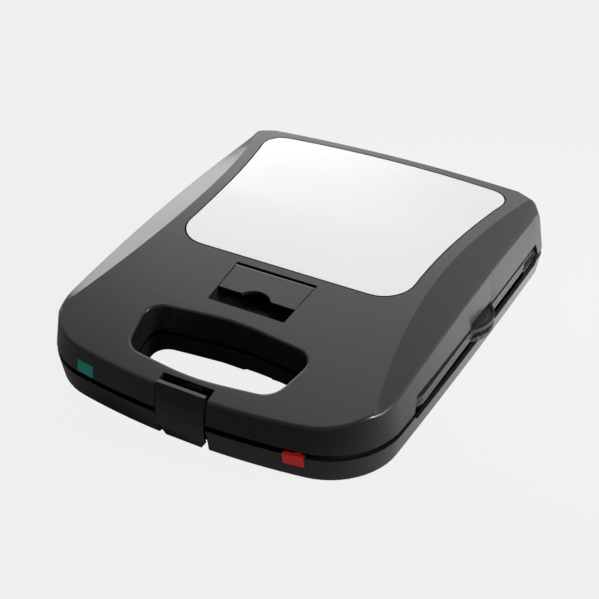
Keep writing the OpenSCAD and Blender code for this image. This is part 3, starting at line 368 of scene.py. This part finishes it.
# %% Plastic finishes
CASE_BLACK = (0.014, 0.014, 0.015), (0.02, 0.02, 0.021)
CASE_GRAIN = {"Grain": 1500, "Roughness": 0.27, "Spread": 0.06}
finishes["shell"] = finish("case_plastic", moulded_grain, CASE_GRAIN, *CASE_BLACK, 0.000006)
finishes["base_plastic"] = finish("base_plastic", moulded_grain, CASE_GRAIN, *CASE_BLACK, 0.000006)
finishes["paddle_plastic"] = finish(
    "paddle_plastic", moulded_grain, {"Grain": 1700, "Roughness": 0.26, "Spread": 0.06},
    *CASE_BLACK, 0.000005)
finishes["clip_plastic"] = finish(
    "clip_plastic", moulded_grain, {"Grain": 1700, "Roughness": 0.22, "Spread": 0.05},
    (0.012, 0.012, 0.013), (0.018, 0.018, 0.019), 0.000004)
finishes["grip_plastic"] = finish(
    "grip_plastic", moulded_grain, {"Grain": 850, "Roughness": 0.42, "Spread": 0.08},
    (0.012, 0.012, 0.012), (0.02, 0.02, 0.02), 0.0005)
finishes["inner_plastic"] = finish(
    "inner_plastic", moulded_grain, {"Grain": 900, "Roughness": 0.5, "Spread": 0.1},
    (0.02, 0.02, 0.02), (0.03, 0.03, 0.03), 0.00002)
print(len(finishes), "plastics")


# %% [markdown]
# ## Metal finishes
# The lid's panel is brushed steel, the pins, springs and screws are drawn wire, and the reflectors are bright
# sheet. The elements' sheaths are dull and brownish from heat, and the plates have a dark non-stick coating
# over cast metal, so both use grain instead of lines.

# %% Metal finishes
finishes["panel_steel"] = finish(
    "panel_steel", drawn_lines, {"Across": 2600, "Along": 12, "Roughness": 0.22, "Spread": 0.1},
    (0.5, 0.5, 0.505), (0.58, 0.58, 0.585), 0.000004, 1.0)
finishes["reflector_metal"] = finish(
    "reflector_metal", drawn_lines, {"Across": 900, "Along": 30, "Roughness": 0.3},
    (0.66, 0.66, 0.67), (0.78, 0.78, 0.79), 0.000006, 1.0)
finishes["pin_steel"] = finish(
    "pin_steel", drawn_lines, {"Across": 1200, "Along": 40, "Roughness": 0.25},
    (0.52, 0.52, 0.53), (0.66, 0.66, 0.67), 0.000003, 1.0)
finishes["spring_steel"] = finish(
    "spring_steel", drawn_lines, {"Across": 1500, "Along": 60, "Roughness": 0.3},
    (0.42, 0.42, 0.43), (0.56, 0.56, 0.57), 0.000003, 1.0)
finishes["screw_steel"] = finish(
    "screw_steel", drawn_lines, {"Across": 900, "Along": 200, "Roughness": 0.35},
    (0.4, 0.4, 0.41), (0.52, 0.52, 0.53), 0.000004, 1.0)
finishes["element_sheath"] = finish(
    "element_sheath", moulded_grain, {"Grain": 700, "Roughness": 0.5, "Spread": 0.2},
    (0.16, 0.13, 0.11), (0.3, 0.27, 0.25), 0.00001, 0.9)
finishes["plate_coating"] = finish(
    "plate_coating", moulded_grain, {"Grain": 1100, "Roughness": 0.38, "Spread": 0.1},
    (0.03, 0.03, 0.031), (0.05, 0.05, 0.052), 0.000016, 0.2)
print(len(finishes), "finishes so far")


# %% [markdown]
# ## Lenses, lamps, rubber and ceramic
# The two lenses are tinted plastic that gathers light, and a little emission of their own colour is a painted
# glow that imitates it.
# The rubber of the gland and the feet is matt, and the ceramic bodies inside are off-white.

# %% Lenses, lamps, rubber and ceramic
LENS_GRAIN = {"Grain": 500, "Roughness": 0.16, "Spread": 0.05}
# Both lenses carry a painted glow: their emission imitates light that the tinted plastic gathers.
finishes["green_lens"] = finish(
    "green_lens", moulded_grain, LENS_GRAIN, (0.0, 0.2, 0.15), (0.0, 0.26, 0.2), 0.000003,
    Emission_Color=(0.0, 0.2, 0.15, 1), Emission_Strength=0.25)
finishes["red_lens"] = finish(
    "red_lens", moulded_grain, LENS_GRAIN, (0.4, 0.012, 0.009), (0.5, 0.02, 0.014), 0.000003,
    Emission_Color=(0.4, 0.01, 0.007, 1), Emission_Strength=0.4)
finishes["lamp_glass"] = finish(
    "lamp_glass", moulded_grain, {"Grain": 400, "Roughness": 0.1, "Spread": 0.04},
    (0.85, 0.7, 0.55), (0.95, 0.82, 0.7), 0.000002)
finishes["ceramic_body"] = finish(
    "ceramic_body", moulded_grain, {"Grain": 1200, "Roughness": 0.7, "Spread": 0.1},
    (0.7, 0.66, 0.58), (0.8, 0.77, 0.7), 0.00002)
finishes["gland_rubber"] = finish(
    "gland_rubber", moulded_grain, {"Grain": 900, "Roughness": 0.62, "Spread": 0.1},
    (0.015, 0.015, 0.015), (0.026, 0.026, 0.026), 0.00002)
finishes["foot_rubber"] = finish(
    "foot_rubber", moulded_grain, {"Grain": 800, "Roughness": 0.66, "Spread": 0.1},
    (0.012, 0.012, 0.012), (0.022, 0.022, 0.022), 0.00002)
print(len(finishes), "finishes")


# %% [markdown]
# ## Finishes on the construction pieces
# The record names a material slot for each piece, and the finishes carry the same names. So one loop dresses
# every piece, and the small hidden ones need nothing more.

# %% Finishes on the construction pieces
slots = {row["node"]: row["material_slot"] for row in frame["record"]["subparts"]}
for node, slot in slots.items():
    nodes[node].data.materials.clear()
    nodes[node].data.materials.append(finishes[slot])
print(len(slots), "pieces dressed")


# %% [markdown]
# ## Tools for reshaping
# The pieces that show are copied and worked on in edit mode. Most steps need the whole mesh selected, and
# some cut it with a plane and close the cut, so each of these gets a helper.

# %% Tools for reshaping
MERGE_DISTANCE = 0.000004


def edit(piece):
    """Selects one piece and opens it in edit mode with everything in it selected."""
    bpy.ops.object.select_all(action="DESELECT")
    piece.select_set(True)
    bpy.context.view_layer.objects.active = piece
    bpy.ops.object.mode_set(mode="EDIT")
    bpy.ops.mesh.select_all(action="SELECT")


def trim(piece, spot, way):
    """Cuts off what lies beyond a plane through `spot` that faces `way`, and closes the cut."""
    edit(piece)
    bpy.ops.mesh.bisect(plane_co=spot, plane_no=way, use_fill=True, clear_outer=True, threshold=0.000001)
    bpy.ops.object.mode_set(mode="OBJECT")


# %% [markdown]
# ## Rear corners of the lid
# The real lid is round at its two rear corners, and the construction model is sharp there. Each corner is
# trimmed by planes that touch a leaning column, and then by planes that touch a ball on top of it. Many small
# flats in even steps, shaded smoothly, pass for a round corner.

# %% Rear corners of the lid
CORNER_RADIUS = 0.010
COLUMN = (0.1102, 0.1276, 0.065)
COLUMN_LEAN = 0.17
COLUMN_TURNS = (18, 31, 45, 59, 72)
BALL_CENTRE = (0.1082, 0.1276, 0.0652)
BALL_TURNS = (28, 45, 62)
BALL_RISES = (22, 38, 54)


def round_rear_corners(piece):
    for side in (-1, 1):
        for turn in COLUMN_TURNS:
            a = math.radians(turn)
            way = Vector((side * math.cos(a), math.sin(a), COLUMN_LEAN)).normalized()
            x, y, z = COLUMN
            spot = Vector((side * (x + CORNER_RADIUS * math.cos(a)), y + CORNER_RADIUS * math.sin(a), z))
            trim(piece, spot, way)
        for rise in BALL_RISES:
            for turn in BALL_TURNS:
                a, e = math.radians(turn), math.radians(rise)
                way = Vector((side * math.cos(a) * math.cos(e), math.sin(a) * math.cos(e), math.sin(e)))
                x, y, z = BALL_CENTRE
                trim(piece, Vector((side * x, y, z)) + CORNER_RADIUS * way, way)


# %% [markdown]
# ## Reliefs over the grips
# The lid's wall is cut away over the grips of the upper plate, so that fingers can reach them. On the real
# lid the cut is lower and ends further forward than in the construction model, so its points are moved.

# %% Reliefs over the grips
RELIEF_TOP, LOWER_TOP = 0.0506, 0.0468
RELIEF_REAR, FORWARD_REAR = 0.03962, 0.0345
WALL_X, ZONE_REAR, ZONE_LOW = 0.112, 0.04, 0.045
SAME_PLACE = 0.0001


def lower_reliefs(piece):
    for point in piece.data.vertices:
        x, y, z = point.co
        if abs(x) > WALL_X and 0.0 < y < ZONE_REAR and z > ZONE_LOW:
            if abs(z - RELIEF_TOP) < SAME_PLACE:
                point.co.z = LOWER_TOP
            if abs(y - RELIEF_REAR) < SAME_PLACE:
                point.co.y = FORWARD_REAR


def reshape_lid(piece):
    lower_reliefs(piece)
    round_rear_corners(piece)


# %% [markdown]
# ## Outline of the steel panel
# A pressed panel needs a little play in its recess. Drawing its outline in by half a millimetre all round
# leaves the narrow gap that shows as a dark line.

# %% Outline of the steel panel
PANEL_PLAY = 0.001


def shrink_panel(piece):
    low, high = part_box("lid_steel_panel")
    size = high - low
    edit(piece)
    bpy.ops.transform.resize(value=(1 - PANEL_PLAY / size.x, 1 - PANEL_PLAY / size.y, 1),
                             center_override=(low + high) / 2)
    bpy.ops.object.mode_set(mode="OBJECT")


# %% [markdown]
# ## Crease of the lid
# Smooth shading would melt the curved line where the arched top of the lid meets the bevels at its sides. An
# edge is on that line when one of its faces is nearly level and the other, still facing up, leans sideways.

# %% Crease of the lid
FACES_UP = 0.4
LEVEL = 0.96
STRAIGHT = 0.01
LEANS_SIDEWAYS = 0.05


def mark_crease(mesh):
    faces_at = {}
    for face in mesh.polygons:
        for key in face.edge_keys:
            faces_at.setdefault(key, []).append(face.normal)
    for edge in mesh.edges:
        pair = faces_at.get(tuple(sorted(edge.vertices)), [])
        if len(pair) == 2 and min(n.z for n in pair) > FACES_UP:
            flat, steep = sorted(pair, key=lambda n: abs(n.x))
            if abs(flat.x) < STRAIGHT and flat.z > LEVEL and abs(steep.x) > LEANS_SIDEWAYS:
                edge.use_edge_sharp = True


# %% [markdown]
# ## Rounded edges
# A moulding has a small radius on every edge, which catches the light, and a Bevel modifier makes it. Where
# tiny edges meet, a bevel can throw a point off the surface, so such a point is put back on the nearest place
# of the mesh as it was. A BVH tree finds that place quickly.

# %% Rounded edges
BEVEL_ANGLE = 30
STRAY_SHARE = 0.45


def round_edges(piece, width):
    crisp = BVHTree.FromPolygons([v.co.copy() for v in piece.data.vertices],
                                 [f.vertices[:] for f in piece.data.polygons])
    bevel = piece.modifiers.new("edge", "BEVEL")
    bevel.limit_method = "ANGLE"
    bevel.angle_limit = math.radians(BEVEL_ANGLE)
    bevel.width = width
    bevel.segments = 2
    bevel.use_clamp_overlap = False
    bpy.ops.object.modifier_apply(modifier=bevel.name)
    for point in piece.data.vertices:
        near, _, _, stray = crisp.find_nearest(point.co)
        if stray > width * STRAY_SHARE:
            point.co = near


# %% [markdown]
# ## A copy with even shading
# The construction model is a mesh of loose triangles, which would shade as facets. In the copy the points are
# merged, the edges rounded and the soft edges shaded smoothly. Weighted normals then let the large flat
# faces decide, so that thin triangles beside an edge do not streak.

# %% A copy with even shading
SMOOTH_ANGLE = 28
NORMAL_WEIGHT = 80
reshapes = {"lid_shell": reshape_lid, "lid_steel_panel": shrink_panel}


def rounded_copy(node, width):
    """Replaces a node by a smooth copy of itself, with edges `width` metres wide."""
    slot = slots[node]
    piece = bpy.data.objects.new(node + "_rounded", nodes[node].data.copy())
    scene.collection.objects.link(piece)
    edit(piece)
    bpy.ops.mesh.remove_doubles(threshold=MERGE_DISTANCE)
    bpy.ops.object.mode_set(mode="OBJECT")
    if node in reshapes:
        reshapes[node](piece)
    if width:
        round_edges(piece, width)
    bpy.ops.object.shade_smooth_by_angle(angle=math.radians(SMOOTH_ANGLE))
    if node == "lid_shell":
        mark_crease(piece.data)
    even = piece.modifiers.new("even", "WEIGHTED_NORMAL")
    even.mode = "FACE_AREA"
    even.weight = NORMAL_WEIGHT
    even.keep_sharp = True
    bpy.ops.object.modifier_apply(modifier=even.name)
    piece.data.materials.clear()
    piece.data.materials.append(finishes[slot])
    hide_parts(node)
    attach(piece, nodes[node]["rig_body"])
    print(piece.name, len(piece.data.polygons), "faces")


# %% [markdown]
# ## Copies of the pieces that show
# Small pieces take an edge of 0.3 mm. On the big mouldings a bevel folds thin triangles over their
# neighbours in the flat faces, and a wide one folds more of them. With none at all the lid, the base and the
# paddles shade in streaks. So the mouldings take 0.1 mm, which leaves some folds. The grips are crisp.

# %% Copies of the pieces that show
EDGE_WIDTHS = {
    "lid_shell": 0.0001, "base_shell": 0.0001, "latch_clip": 0.0003, "upper_paddle": 0.0001,
    "lower_paddle": 0.0001, "lid_steel_panel": 0.00015, "upper_plate": 0.00015, "lower_plate": 0.00015,
    "upper_plate_grips": 0.0, "lower_plate_grips": 0.0, "ready_lens": 0.0003, "power_lens": 0.0003,
    "lid_inner_frame": 0.0001, "base_inner_frame": 0.0001, "cord_inlet": 0.0003, "rubber_feet": 0.0003}
for node, width in EDGE_WIDTHS.items():
    rounded_copy(node, width)


# %% [markdown]
# ## Painted shade round the panel
# The gap round the panel is dark. A thin near-black sheet with almost no gloss fills it here as painted
# shade: a copy of the panel, a little larger and a third of a millimetre lower.

# %% Painted shade round the panel
SHADE_SHEET_GROWTH = 1.0028
SHADE_SHEET_DROP = 0.00035
SHADE_SHEET_ANGLE = 30
# Painted shade: a near-black, matt finish that hardly reflects, for the sheet in the panel's gap.
gap_shade_paint = finish("painted_gap_shade", moulded_grain, {"Grain": 900, "Roughness": 0.95, "Spread": 0.05},
              (0.003, 0.003, 0.003), (0.006, 0.006, 0.006), 0.00003, Specular_IOR_Level=0.05)
low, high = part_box("lid_steel_panel")
gap_shade_sheet = bpy.data.objects.new("panel_gap_shade_sheet", nodes["lid_steel_panel"].data.copy())
scene.collection.objects.link(gap_shade_sheet)
edit(gap_shade_sheet)
bpy.ops.mesh.remove_doubles(threshold=MERGE_DISTANCE)
bpy.ops.transform.resize(value=(SHADE_SHEET_GROWTH, SHADE_SHEET_GROWTH, 1), center_override=(low + high) / 2)
bpy.ops.transform.translate(value=(0, 0, -SHADE_SHEET_DROP))
bpy.ops.object.mode_set(mode="OBJECT")
bpy.ops.object.shade_smooth_by_angle(angle=math.radians(SHADE_SHEET_ANGLE))
gap_shade_sheet.data.materials.clear()
gap_shade_sheet.data.materials.append(gap_shade_paint)
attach(gap_shade_sheet, nodes["lid_steel_panel"]["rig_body"])
print("gap_shade_sheet", len(gap_shade_sheet.data.polygons), "faces")
